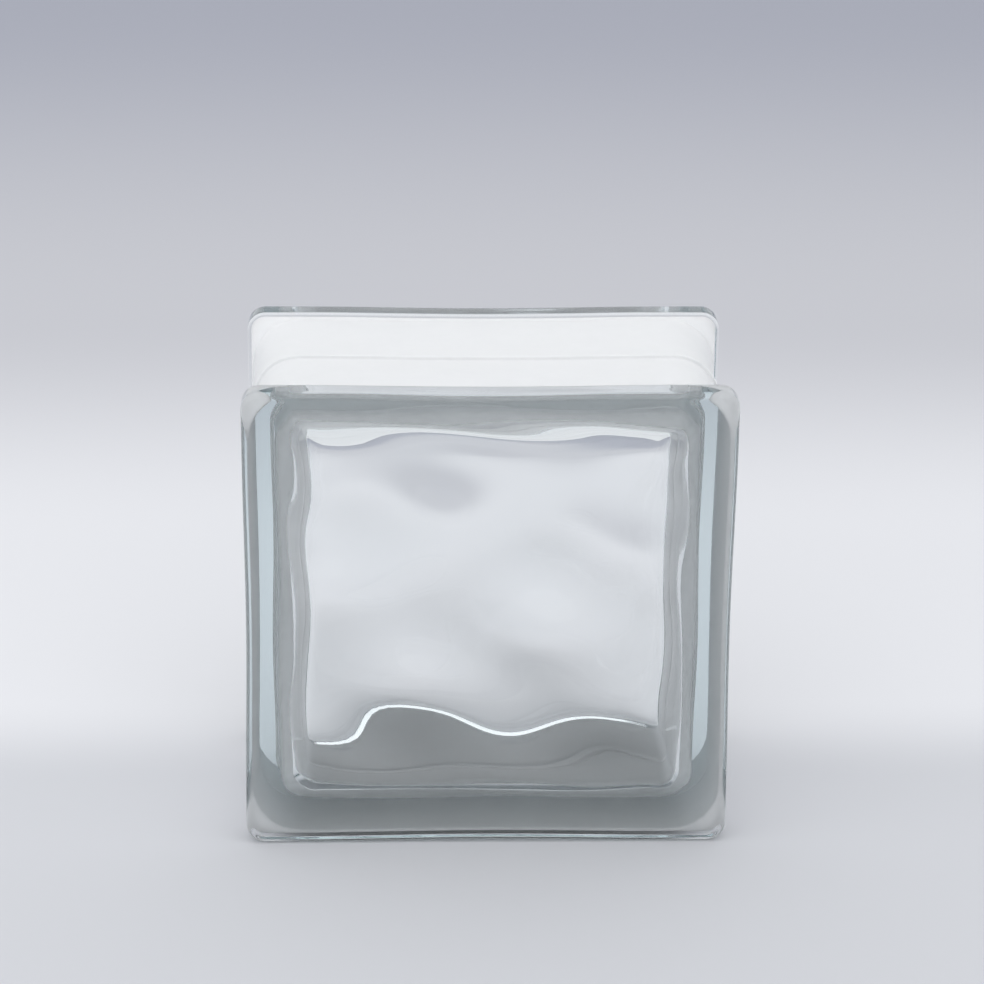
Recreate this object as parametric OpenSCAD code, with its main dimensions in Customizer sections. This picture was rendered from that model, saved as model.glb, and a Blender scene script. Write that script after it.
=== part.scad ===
// Hollow glass block for walls: two pressed glass half shells, fused together at mid depth, with a
// thin white coating in the mortar channel.
// The origin is at the middle of the underside, X is the width, Y the depth, Z is up.

/* [Block] */
// Width of the block across its rims
block_w = 145; // [110:1:240]
// Height of the block across its rims
block_h = 145; // [110:1:240]
// Depth of the block, from face to face
block_d = 80; // [60:1:110]

/* [Rims] */
// How far each rim reaches back from its face
rim_d = 8; // [5:0.5:12]
// Corner radius of the rims, seen from the front
rim_corner_r = 5.5; // [4:0.5:12]
// Rounding between the face and the rim's edge
face_edge_r = 2.1; // [0.5:0.1:2.5]
// Rounding of the rim towards the mortar channel
rim_back_r = 0.9; // [0.4:0.1:1.4]

/* [Mortar channel] */
// Depth of the mortar channel below the rims, at the seam
channel_depth = 3.5; // [2.9:0.1:6]
// Draft of the channel's floor, which rises from the seam to the rims, in degrees
channel_draft = 2.5; // [1.5:0.1:2.7]
// Hollow radius at the foot of the rims, in the channel
channel_foot_r = 0.8; // [0.6:0.1:2]
// Corner radius of the channel's floor
channel_corner_r = 13; // [10:0.5:20]
// Height of the fused bead along the seam
bead_h = 0.9; // [0.4:0.1:1.5]
// Thickness of the white coating on the channel and on the backs of the rims
coat_t = 0.3; // [0.1:0.1:0.5]

/* [Hollow] */
// Thickness of the walls where the two halves meet
wall_t = 5.4; // [4:0.1:7]
// Thickness of the face plates, to the middle of the waves
plate_t = 7.6; // [6:0.1:12]
// Draft of the walls, in degrees
wall_draft = 2.5; // [0.5:0.5:5]
// Rounding between the walls and the face plate
plate_fillet_r = 12; // [4:0.5:14]
// Corner radius of the hollow at the seam
hollow_corner_r = 9; // [7:0.5:14]
// Corner radius of the wavy pane, inside the rounding
pane_corner_r = 5; // [3:0.5:9]

/* [Waves] */
// Height of the waves where all their crests meet, on the inner side of each face plate
wave_h = 2.2; // [0:0.1:3]
// Mean distance from crest to crest
wave_len = 44; // [30:1:80]

/* [Hidden] */

glass_color = [0.72, 0.82, 0.83, 0.55];
coat_color = [0.95, 0.95, 0.94];
half_d = block_d / 2;
// Height of the rims' backs above the seam
rim_z = half_d - rim_d;
// Half width and half height of the channel's floor, and of the hollow at the seam
floor_w = block_w / 2 - channel_depth;
floor_h = block_h / 2 - channel_depth;
hollow_w = floor_w - wall_t;
hollow_h = floor_h - wall_t;
// Height of the plate's inner side above the seam, and of the middle of the rounding below it
pane_z = half_d - plate_t;
fillet_z = pane_z - plate_fillet_r;
// How far the rounding's middle lies inside the hollow's edge at the seam
fillet_inset = (fillet_z + plate_fillet_r * sin(wall_draft)) * tan(wall_draft)
    + plate_fillet_r * cos(wall_draft);
// Radius at the foot of the rims, which leaves room for the rim's own rounding
foot_r = min(channel_foot_r, channel_depth - rim_z * tan(channel_draft) - rim_back_r);
// The cut runs this far past the seam, so that it leaves an open edge
overcut = 1;
// Steps round a corner, along a side, round the fillet and from its foot to the middle of the pane
corner_steps = 6;
side_steps = 10;
fillet_steps = 6;
pane_steps = 15;

// Crossing waves as [direction in degrees, length as a share of wave_len, start, share of wave_h]
FRONT_WAVES = [[-60, 1.31, 271, 0.15], [77, 0.66, 91, 0.14], [47, 0.87, 41, 0.37],
    [-22, 1.04, 196, 0.16], [-63, 0.82, 342, 0.18]];
BACK_WAVES = [[-20, 0.91, 120, 0.37], [63, 1.13, 20, 0.33], [105, 0.77, 250, 0.30]];

function wave(x, y, waves) = wave_h * [for (w = waves)
    w[3] * sin(360 * (x * cos(w[0]) + y * sin(w[0])) / (w[1] * wave_len) + w[2])]
    * [for (w = waves) 1];

// Points round a rectangle with round corners, anticlockwise from the middle of its right side
function round_rectangle(w, h, r) = [for (q = [0:3])
    let (
        a = 90 * q,
        along = q % 2 == 0 ? h - r : w - r,
        centre = [(q == 0 || q == 3 ? 1 : -1) * (w - r), (q < 2 ? 1 : -1) * (h - r)],
        corner = [for (i = [0:corner_steps])
            centre + r * [cos(a + 90 * i / corner_steps), sin(a + 90 * i / corner_steps)]],
        next = q % 2 == 0 ? [-2 * (w - r), 0] : [0, -2 * (h - r)],
        turn = q < 2 ? 1 : -1
    )
    each concat(corner, [for (i = [1:side_steps - 1])
        corner[corner_steps] + turn * next * i / side_steps])];

// One level of the hollow: its inset from the seam's outline, its height and its share of the waves
function level(inset, z, share, waves) =
    let (
        blend = min(inset / fillet_inset, 1),
        r = hollow_corner_r + (pane_corner_r - hollow_corner_r) * blend
    )
    [for (p = round_rectangle(hollow_w - inset, hollow_h - inset, r))
        [p[0], p[1], z + share * wave(p[0], p[1], waves)]];

// One level of the pane, at a share of the way from the fillet's foot to the middle
function pane_level(share, waves) =
    let (w = hollow_w - fillet_inset, h = hollow_h - fillet_inset)
    [for (p = round_rectangle(w, h, pane_corner_r))
        let (x = p[0] * (1 - share), y = p[1] * (1 - share)) [x, y, pane_z + wave(x, y, waves)]];

// The hollow of one half: drafted walls, a rounding and a wavy pane, closed past the seam
module hollow(waves) {
    wall_foot = level(-overcut * tan(wall_draft), -overcut, 0, waves);
    fillet = [for (i = [0:fillet_steps])
        let (a = wall_draft + (90 - wall_draft) * i / fillet_steps)
        level(fillet_inset - plate_fillet_r * cos(a), fillet_z + plate_fillet_r * sin(a),
            pow(sin(a), 2), waves)];
    pane = [for (i = [1:pane_steps - 1]) pane_level(i / pane_steps, waves)];
    levels = concat([wall_foot], fillet, pane);
    n = len(wall_foot);
    last = n * (len(levels) - 1);
    points = concat([for (ring = levels) each ring],
        [[0, 0, pane_z + wave(0, 0, waves)], [0, 0, -overcut]]);
    polyhedron(
        points = points,
        faces = concat(
            [for (i = [0:n - 1]) [i, (i + 1) % n, len(points) - 1]],
            [for (k = [0:len(levels) - 2], i = [0:n - 1]) each
                let (a = k * n + i, b = k * n + (i + 1) % n) [[a, a + n, b], [b, a + n, b + n]]],
            [for (i = [0:n - 1]) [last + i, len(points) - 2, last + (i + 1) % n]]));
}

// A solid with a round rectangle for its outline, whose edge follows the section given as child
module rounded_block(w, h, r, z0, z1) {
    translate([-(w - r), -(h - r), z0]) cube([2 * (w - r), 2 * (h - r), z1 - z0]);
    for (side = [0:3]) {
        half = side % 2 == 0 ? [w - r, h - r] : [h - r, w - r];
        rotate([0, 0, 90 * side]) {
            translate([half[0], half[1], 0]) rotate([90, 0, 0]) linear_extrude(2 * half[1]) children();
            translate([half[0], half[1], 0]) rotate_extrude(angle = 90) children();
        }
    }
}

// Section of the rim outside its corner's centre: rounded at the face and at the channel
module rim_section() {
    w = rim_corner_r;
    difference() {
        translate([0, rim_z]) square([w, rim_d]);
        translate([w - face_edge_r, half_d - face_edge_r]) difference() {
            square(face_edge_r + 1);
            circle(face_edge_r);
        }
        translate([w - rim_back_r, rim_z - 1]) difference() {
            square([rim_back_r + 1, rim_back_r + 1]);
            translate([0, rim_back_r + 1]) circle(rim_back_r);
        }
    }
}

// Section of the channel's floor from the seam's bead to the foot of the rim, its surface lifted
module channel_section(lift) {
    w = channel_corner_r + lift / cos(channel_draft);
    r = foot_r - lift;
    centre = [channel_corner_r + (rim_z - foot_r) * tan(channel_draft) + foot_r / cos(channel_draft),
        rim_z - foot_r];
    touch = centre + r * [-cos(channel_draft), sin(channel_draft)];
    difference() {
        polygon([[0, 0], [w, 0], touch, centre, [centre[0], rim_z], [0, rim_z]]);
        translate(centre) circle(r);
    }
    intersection() {
        translate([channel_corner_r, 0]) circle(bead_h + lift);
        square([w + bead_h + 1, bead_h + lift + 1]);
    }
}

// One half of the block between its rims, from the seam to the rim
module channel_body(lift) {
    rounded_block(floor_w + lift, floor_h + lift, channel_corner_r + lift, 0, rim_z)
        channel_section(lift);
}

// One pressed half, with the seam at z = 0 and its face up
module half_shell(waves) {
    difference() {
        union() {
            rounded_block(block_w / 2, block_h / 2, rim_corner_r, rim_z, half_d) rim_section();
            channel_body(0);
        }
        hollow(waves);
    }
}

// The coating of one half: a skin up the back of its rim and along the channel
module half_coating() {
    r = rim_corner_r - rim_back_r;
    difference() {
        union() {
            rounded_block(block_w / 2 - rim_back_r, block_h / 2 - rim_back_r, r, rim_z - coat_t, rim_z)
                translate([0, rim_z - coat_t]) square([r, coat_t]);
            channel_body(coat_t);
        }
        channel_body(0);
    }
}

// Stands the block up, with the seam in the plane y = 0
module upright() {
    translate([0, 0, block_h / 2]) rotate([90, 0, 0]) children();
}

module front_half() {
    color(glass_color) upright() half_shell(FRONT_WAVES);
}

module back_half() {
    color(glass_color) upright() mirror([0, 0, 1]) half_shell(BACK_WAVES);
}

module edge_coating() {
    color(coat_color) upright() {
        half_coating();
        mirror([0, 0, 1]) half_coating();
    }
}

front_half();
back_half();
edge_coating();
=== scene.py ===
import math

import bmesh
import bpy
from mathutils import Matrix, Vector


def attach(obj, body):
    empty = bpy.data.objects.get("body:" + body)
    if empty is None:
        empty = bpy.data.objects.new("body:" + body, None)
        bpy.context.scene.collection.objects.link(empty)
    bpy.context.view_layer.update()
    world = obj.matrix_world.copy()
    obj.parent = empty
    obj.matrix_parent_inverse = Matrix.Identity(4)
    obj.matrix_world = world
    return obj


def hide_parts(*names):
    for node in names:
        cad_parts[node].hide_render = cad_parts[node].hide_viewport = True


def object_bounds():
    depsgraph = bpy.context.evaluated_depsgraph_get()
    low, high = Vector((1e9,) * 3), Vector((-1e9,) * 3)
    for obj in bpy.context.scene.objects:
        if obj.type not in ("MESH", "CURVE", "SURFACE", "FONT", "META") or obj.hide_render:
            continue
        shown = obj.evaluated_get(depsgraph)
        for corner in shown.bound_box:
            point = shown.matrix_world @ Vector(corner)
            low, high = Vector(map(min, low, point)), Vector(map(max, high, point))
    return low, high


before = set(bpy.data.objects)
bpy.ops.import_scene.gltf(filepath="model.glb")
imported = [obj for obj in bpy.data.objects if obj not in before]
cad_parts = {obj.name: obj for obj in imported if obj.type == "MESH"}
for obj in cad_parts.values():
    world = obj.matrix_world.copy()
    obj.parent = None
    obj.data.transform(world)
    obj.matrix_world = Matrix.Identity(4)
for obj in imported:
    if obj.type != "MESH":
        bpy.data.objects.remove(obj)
cad_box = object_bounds()

# Glass block
# A hollow unit of clear soda-lime glass. Two half shells are pressed in a mould, with waves on the
# inner side of each face, and melted together at mid depth, so that the block is one body of glass
# with a sealed hollow. Its faces stand proud as rims round a channel for the mortar.
MM = 0.001
LOW, HIGH = (Vector(corner) for corner in cad_box)
MIDDLE = (LOW + HIGH) / 2
HALF_W, HALF_D, HALF_H = (HIGH - LOW) / 2

# Rims, mortar channel and the bead of the fused seam
RIM_D = 8 * MM
RIM_CORNER_R = 5.5 * MM
FACE_EDGE_R = 2.1 * MM
RIM_BACK_R = 0.9 * MM
CHANNEL_DEPTH = 3.5 * MM
CHANNEL_DRAFT = math.radians(2.5)
CHANNEL_FOOT_R = 0.8 * MM
CHANNEL_CORNER_R = 13 * MM
BEAD_H = 0.9 * MM
BEAD_HALF_W = 0.9 * MM
# Hollow, and the groove that the fused seam leaves in it
WALL_T = 5.4 * MM
PLATE_T = 7.6 * MM
WALL_DRAFT = math.radians(2.5)
PLATE_FILLET_R = 12 * MM
HOLLOW_CORNER_R = 9 * MM
PANE_CORNER_R = 5 * MM
GROOVE_DEPTH = 0.7 * MM
GROOVE_HALF_W = 0.9 * MM
# Waves as (direction in degrees, length as a share of WAVE_LEN, start in degrees, share of WAVE_H)
WAVE_H = 2.2 * MM
WAVE_LEN = 44 * MM
FRONT_WAVES = ((-60, 1.31, 271, 0.15), (77, 0.66, 91, 0.14), (47, 0.87, 41, 0.37),
               (-22, 1.04, 196, 0.16), (-63, 0.82, 342, 0.18))
BACK_WAVES = ((-20, 0.91, 120, 0.37), (63, 1.13, 20, 0.33), (105, 0.77, 250, 0.30))
# Sides that sink in the middle, and walls of the hollow that sag, both only near the block's edge
BOW_H = 0.6 * MM
BOW_REACH = 55 * MM
SAG_H = 0.3 * MM
SAG_LEN = 68 * MM
SAG_SLANT = 0.3
SAG_SHIFT = 9
EDGE_FROM, EDGE_TO = 50 * MM, 60 * MM
# Rings that keep the face flat beside its rounded edge, as (inset from the rounding, corner radius)
FACE_RINGS = ((3 * MM, 1 * MM), (0.5 * MM, 3 * MM))

CORNER_STEPS = 8
SIDE_CUTS = 60
ARC_STEPS = 6
STEP = 2 * MM


def wave(x, z, waves):
    """How far a pressed wave lowers the inner side of a face plate, as crossing ripples."""
    total = 0
    for direction, length, start, share in waves:
        angle = math.radians(direction)
        along = x * math.cos(angle) + z * math.sin(angle)
        total += share * math.sin(math.tau * along / (length * WAVE_LEN) + math.radians(start))
    return WAVE_H * total


def quarter(steps):
    """Angles from nothing to a right angle, in even steps."""
    return [math.pi / 2 * i / steps for i in range(steps + 1)]


def run(start, end):
    """Places between two levels, about one step apart, without the ends."""
    count = max(round(abs(end - start) / STEP), 1)
    return [start + (end - start) * i / count for i in range(1, count)]


def channel_levels(lift):
    """The channel's half section, from the rim's foot to the seam, lifted off the glass."""
    rim_z = HALF_D - RIM_D - lift
    foot_r = CHANNEL_FOOT_R - lift
    slope = math.tan(CHANNEL_DRAFT)
    levels = []
    for a in quarter(ARC_STEPS):
        z = rim_z - foot_r * (1 - math.cos(a))
        rise = lift + foot_r * (1 - math.sin(a)) + z * slope
        levels.append((z, CHANNEL_DEPTH - rise, CHANNEL_CORNER_R + rise))
    for z in run(rim_z - foot_r, BEAD_HALF_W):
        rise = lift + z * slope
        levels.append((z, CHANNEL_DEPTH - rise, CHANNEL_CORNER_R + rise))
    for a in quarter(ARC_STEPS):
        z = BEAD_HALF_W * (1 - a / (math.pi / 2))
        rise = lift + BEAD_H * math.sin(a) ** 2 + z * slope
        levels.append((z, CHANNEL_DEPTH - rise, CHANNEL_CORNER_R + rise))
    return levels


def outer_levels():
    """Half of the outside as (distance from the seam, inset, corner radius), from the face in."""
    rim_z = HALF_D - RIM_D
    levels = [(HALF_D, FACE_EDGE_R + inset, corner_r) for inset, corner_r in FACE_RINGS]
    for a in quarter(ARC_STEPS):
        inset = FACE_EDGE_R * (1 - math.sin(a))
        levels.append((HALF_D - FACE_EDGE_R * (1 - math.cos(a)), inset, RIM_CORNER_R - inset))
    for z in run(HALF_D - FACE_EDGE_R, rim_z + RIM_BACK_R):
        levels.append((z, 0, RIM_CORNER_R))
    for a in quarter(ARC_STEPS):
        inset = RIM_BACK_R * (1 - math.cos(a))
        levels.append((rim_z + RIM_BACK_R * (1 - math.sin(a)), inset, RIM_CORNER_R - inset))
    return levels + channel_levels(0)


def hollow_levels():
    """Half of the hollow as (distance from the seam, inset, corner radius, share of the waves)."""
    edge = CHANNEL_DEPTH + WALL_T
    pane_z = HALF_D - PLATE_T
    fillet_z = pane_z - PLATE_FILLET_R
    foot = ((fillet_z + PLATE_FILLET_R * math.sin(WALL_DRAFT)) * math.tan(WALL_DRAFT)
            + PLATE_FILLET_R * math.cos(WALL_DRAFT))
    pane_w = HALF_W - edge - foot
    levels = []
    for a in quarter(ARC_STEPS)[1:]:
        z = GROOVE_HALF_W * a / (math.pi / 2)
        levels.append((z, z * math.tan(WALL_DRAFT) - GROOVE_DEPTH * (1 - math.sin(a))))
    for z in run(GROOVE_HALF_W, fillet_z) + [fillet_z]:
        levels.append((z, z * math.tan(WALL_DRAFT)))
    for i in range(1, 2 * ARC_STEPS + 1):
        a = WALL_DRAFT + (math.pi / 2 - WALL_DRAFT) * i / (2 * ARC_STEPS)
        levels.append((fillet_z + PLATE_FILLET_R * math.sin(a), foot - PLATE_FILLET_R * math.cos(a)))
    rounded = []
    for z, inset in levels:
        corner_r = HOLLOW_CORNER_R + (PANE_CORNER_R - HOLLOW_CORNER_R) * inset / foot
        share = min(max((z - fillet_z) / PLATE_FILLET_R, 0), 1) ** 2
        rounded.append((z, edge + inset, corner_r, share))
    for inset in run(0, pane_w - STEP) + [pane_w - STEP]:
        shrink = 1 - inset / pane_w
        rounded.append((pane_z, edge + foot + inset, PANE_CORNER_R * shrink, 1))
    return rounded


def edge_share(place):
    """Nothing over the pane, growing to one at the walls, along X or Z."""
    return min(max((abs(place) - EDGE_FROM) / (EDGE_TO - EDGE_FROM), 0), 1)


def bow(bm):
    """Sinks the middle of each side a little, the way the glass shrinks in the mould."""
    for vert in bm.verts:
        for axis, along in ((0, vert.co.z), (2, vert.co.x)):
            place = vert.co[axis]
            middle_share = (1 - min(abs(along) / BOW_REACH, 1) ** 2) ** 2
            vert.co[axis] -= math.copysign(BOW_H * edge_share(place) * middle_share, place)


def sag(bm):
    """Makes the walls of the hollow slightly wavy."""
    for vert in bm.verts:
        x, y, z = vert.co
        for axis, place, along in ((0, x, z), (2, z, x)):
            turn = math.tau * (along + SAG_SLANT * y + SAG_SHIFT * place) / SAG_LEN
            vert.co[axis] += math.copysign(SAG_H * edge_share(place), place) * math.sin(turn)


def first_outline(bm, inset, corner_r):
    """Adds an upright rectangle with round corners at the seam, and returns its edges."""
    corners = bmesh.ops.create_grid(
        bm, x_segments=1, y_segments=1, size=1, matrix=Matrix.Rotation(math.pi / 2, 4, "X"))["verts"]
    bmesh.ops.scale(bm, verts=corners, vec=(HALF_W - inset, 1, HALF_H - inset))
    bmesh.ops.bevel(
        bm, geom=corners, offset=corner_r, offset_type="OFFSET", segments=CORNER_STEPS, profile=0.5,
        affect="VERTICES", material=-1)
    straight = sorted(bm.edges, key=lambda edge: edge.calc_length())[-4:]
    bmesh.ops.subdivide_edges(bm, edges=straight, cuts=SIDE_CUTS)
    bmesh.ops.delete(bm, geom=bm.faces[:], context="FACES_ONLY")
    return bm.edges[:]


def refit(vert, old, new):
    """Moves a point of one outline to its place on another: its corner's middle and radius change."""
    place = []
    for value, half in ((vert.co.x, HALF_W), (vert.co.z, HALF_H)):
        old_core, new_core = half - sum(old), half - sum(new)
        core = min(max(value, -old_core), old_core)
        place.append(core * new_core / old_core + (value - core) * new[1] / old[1])
    vert.co.x, vert.co.z = place


def loft(levels, ends=True):
    """A closed skin drawn through outlines given as (depth, inset, corner radius, share, waves)."""
    bm = bmesh.new()
    old = levels[0][1:3]
    ring = first_outline(bm, *old)
    for vert in {vert for edge in ring for vert in edge.verts}:
        vert.co.y = levels[0][0]
    if ends:
        bmesh.ops.contextual_create(bm, geom=ring)
    for y, inset, corner_r, share, waves in levels[1:]:
        grown = bmesh.ops.extrude_edge_only(bm, edges=ring)["geom"]
        verts = {item for item in grown if isinstance(item, bmesh.types.BMVert)}
        ring = [item for item in grown
                if isinstance(item, bmesh.types.BMEdge) and verts.issuperset(item.verts)]
        for vert in verts:
            refit(vert, old, (inset, corner_r))
            vert.co.y = y
            if share:
                vert.co.y += math.copysign(share, y) * wave(vert.co.x, vert.co.z, waves)
        old = (inset, corner_r)
    if ends:
        bmesh.ops.contextual_create(bm, geom=ring)
    bmesh.ops.remove_doubles(bm, verts=bm.verts[:], dist=0.001 * MM)
    bmesh.ops.recalc_face_normals(bm, faces=bm.faces[:])
    return bm


outside = [(*level, 0, ()) for level in outer_levels()]
outside = [(-z, *rest) for z, *rest in outside] + outside[-2::-1]
inside = hollow_levels()
seam = (0, CHANNEL_DEPTH + WALL_T - GROOVE_DEPTH, HOLLOW_CORNER_R, 0)
inside = ([(-z, *rest, FRONT_WAVES) for z, *rest in inside[::-1]] + [(*seam, FRONT_WAVES)]
          + [(z, *rest, BACK_WAVES) for z, *rest in inside])
hollow = loft(inside)
sag(hollow)
bmesh.ops.reverse_faces(hollow, faces=hollow.faces[:])
mesh = bpy.data.meshes.new("glass_block")
hollow.to_mesh(mesh)
hollow.free()
bm = loft(outside)
bow(bm)
bm.from_mesh(mesh)
bmesh.ops.translate(bm, verts=bm.verts, vec=MIDDLE)
for face in bm.faces:
    face.smooth = True
bm.to_mesh(mesh)
bm.free()
glass_block = bpy.data.objects.new("glass_block", mesh)
bpy.context.scene.collection.objects.link(glass_block)

glass = bpy.data.materials.new("clear_glass")
glass.use_nodes = True
nodes, links = glass.node_tree.nodes, glass.node_tree.links
shader = nodes["Principled BSDF"]
shader.inputs["Base Color"].default_value = (1, 1, 1, 1)
shader.inputs["Roughness"].default_value = 0
shader.inputs["IOR"].default_value = 1.52
shader.inputs["Transmission Weight"].default_value = 1
place = nodes.new("ShaderNodeTexCoord")
ripple = nodes.new("ShaderNodeTexNoise")
ripple.inputs["Scale"].default_value = 55
ripple.inputs["Detail"].default_value = 1
links.new(place.outputs["Object"], ripple.inputs["Vector"])
bump = nodes.new("ShaderNodeBump")
bump.inputs["Strength"].default_value = 0.3
bump.inputs["Distance"].default_value = 0.15 * MM
links.new(ripple.outputs["Fac"], bump.inputs["Height"])
links.new(bump.outputs["Normal"], shader.inputs["Normal"])
absorption = nodes.new("ShaderNodeVolumeAbsorption")
absorption.inputs["Color"].default_value = (0.35, 0.57, 0.62, 1)
absorption.inputs["Density"].default_value = 6.3
links.new(absorption.outputs["Volume"], nodes["Material Output"].inputs["Volume"])
mesh.materials.append(glass)

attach(glass_block, "root")
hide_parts("front_half", "back_half")

# Edge coating
# A thin skin of white latex, sprayed into the channel and up the backs of the rims, so that the
# mortar grips the glass. It wets the glass, so its underside lies a hair inside the glass.
COAT_T = 0.3 * MM
COAT_EDGE = 0.3 * MM
BOND = 0.02 * MM


def coat_levels(lift):
    """Half of one side of the coating, from just below the rim's rounding to the seam."""
    start = RIM_BACK_R + COAT_EDGE
    edge = (HALF_D - RIM_D - lift, start, RIM_CORNER_R - start)
    return [(*level, 0, ()) for level in [edge] + channel_levels(lift)]


top_half, under_half = coat_levels(COAT_T), coat_levels(-BOND)
top = [(-z, *rest) for z, *rest in top_half] + top_half[-2::-1]
under = under_half + [(-z, *rest) for z, *rest in under_half[-2::-1]]
bm = loft(top + under + top[:1], ends=False)
bow(bm)
bmesh.ops.translate(bm, verts=bm.verts, vec=MIDDLE)
for face in bm.faces:
    face.smooth = True
coat_mesh = bpy.data.meshes.new("white_edge_coating")
bm.to_mesh(coat_mesh)
bm.free()
edge_coating = bpy.data.objects.new("white_edge_coating", coat_mesh)
bpy.context.scene.collection.objects.link(edge_coating)

coat = bpy.data.materials.new("white_latex")
coat.use_nodes = True
nodes, links = coat.node_tree.nodes, coat.node_tree.links
shader = nodes["Principled BSDF"]
shader.inputs["Roughness"].default_value = 0.5
shader.inputs["Subsurface Weight"].default_value = 1
shader.inputs["Subsurface Radius"].default_value = (1, 1, 1)
shader.inputs["Subsurface Scale"].default_value = 0.8 * MM
place = nodes.new("ShaderNodeTexCoord")
mottle = nodes.new("ShaderNodeTexNoise")
mottle.inputs["Scale"].default_value = 70
mottle.inputs["Detail"].default_value = 6
mottle.inputs["Roughness"].default_value = 0.7
links.new(place.outputs["Object"], mottle.inputs["Vector"])
tone = nodes.new("ShaderNodeValToRGB")
thin, full = tone.color_ramp.elements
thin.position, thin.color = 0.3, (0.95, 0.955, 0.955, 1)
full.position, full.color = 0.6, (0.985, 0.985, 0.985, 1)
links.new(mottle.outputs["Fac"], tone.inputs["Fac"])
links.new(tone.outputs["Color"], shader.inputs["Base Color"])
grain = nodes.new("ShaderNodeTexNoise")
grain.inputs["Scale"].default_value = 900
grain.inputs["Detail"].default_value = 3
links.new(place.outputs["Object"], grain.inputs["Vector"])
bump = nodes.new("ShaderNodeBump")
bump.inputs["Strength"].default_value = 0.5
bump.inputs["Distance"].default_value = 0.05 * MM
links.new(grain.outputs["Fac"], bump.inputs["Height"])
links.new(bump.outputs["Normal"], shader.inputs["Normal"])
coat_mesh.materials.append(coat)

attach(edge_coating, "root")
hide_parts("edge_coating")

# Floor
# A pale floor, which the block stands on. Light and shade are painted into its tone along Y: painted
# shade in front of the block, a painted band of light just behind it, and painted shade deepening
# farther back.
floor_mesh = bpy.data.meshes.new("floor")
bm = bmesh.new()
bmesh.ops.create_grid(bm, x_segments=1, y_segments=1, size=4)
bm.to_mesh(floor_mesh)
bm.free()
floor = bpy.data.objects.new("floor", floor_mesh)
bpy.context.scene.collection.objects.link(floor)
paper = bpy.data.materials.new("pale_paper")
paper.use_nodes = True
nodes, links = paper.node_tree.nodes, paper.node_tree.links
shader = nodes["Principled BSDF"]
shader.inputs["Roughness"].default_value = 0.9
shader.inputs["Specular IOR Level"].default_value = 0.1
place = nodes.new("ShaderNodeTexCoord")
split = nodes.new("ShaderNodeSeparateXYZ")
links.new(place.outputs["Object"], split.inputs["Vector"])
depth = nodes.new("ShaderNodeMapRange")
depth.inputs["From Min"].default_value = -0.2
depth.inputs["From Max"].default_value = 1.0
links.new(split.outputs["Y"], depth.inputs["Value"])
ramp = nodes.new("ShaderNodeValToRGB")
links.new(depth.outputs["Result"], ramp.inputs["Fac"])
ramp.color_ramp.interpolation = "EASE"
# Painted light and shade, not the paper's own tone: 0.66 in front of the block, a painted bright band
# of 0.83 just behind it, then painted shade falling to 0.43 a metre back.
floor_painted_light = ((0.17, (0.66, 0.665, 0.69)), (0.22, (0.83, 0.83, 0.85)), (0.34, (0.82, 0.82, 0.84)),
         (0.54, (0.60, 0.60, 0.63)), (1.0, (0.43, 0.44, 0.50)))
near, far = ramp.color_ramp.elements
near.position, near.color = floor_painted_light[0][0], (*floor_painted_light[0][1], 1)
far.position, far.color = floor_painted_light[-1][0], (*floor_painted_light[-1][1], 1)
for position, color in floor_painted_light[1:-1]:
    ramp.color_ramp.elements.new(position).color = (*color, 1)
links.new(ramp.outputs["Color"], shader.inputs["Base Color"])
floor_mesh.materials.append(paper)

# Studio light
world = bpy.data.worlds.new("studio")
bpy.context.scene.world = world
world.use_nodes = True
world.node_tree.nodes["Background"].inputs["Color"].default_value = (0.95, 0.97, 1.0, 1)
world.node_tree.nodes["Background"].inputs["Strength"].default_value = 0.84

lamp = bpy.data.lights.new("overhead", "AREA")
lamp.shape = "RECTANGLE"
lamp.size, lamp.size_y = 3.2, 2.8
lamp.energy = 13
overhead = bpy.data.objects.new("overhead", lamp)
overhead.location = (-0.3, -0.75, 1.2)
overhead.rotation_euler = (Vector((0, 0, 0.07)) - overhead.location).to_track_quat("-Z", "Y").to_euler()
bpy.context.scene.collection.objects.link(overhead)

# Camera
camera_data = bpy.data.cameras.new("camera")
camera_data.lens = 136.35
camera_data.sensor_width = 36
camera = bpy.data.objects.new("camera", camera_data)
bpy.context.scene.collection.objects.link(camera)
bpy.context.scene.camera = camera
yaw, pitch, roll = math.radians(2.03), math.radians(21.56), math.radians(0.65)
forward = Vector((math.sin(yaw) * math.cos(pitch), math.cos(yaw) * math.cos(pitch), -math.sin(pitch)))
turn = forward.to_track_quat("-Z", "Y").to_matrix() @ Matrix.Rotation(roll, 3, "Z")
camera.rotation_euler = turn.to_euler()
camera.location = (-0.0353, -1.0511, 0.5141)

scene = bpy.context.scene
scene.view_settings.view_transform = "Standard"
scene.cycles.max_bounces = 32
scene.cycles.glossy_bounces = 24
scene.cycles.transmission_bounces = 24
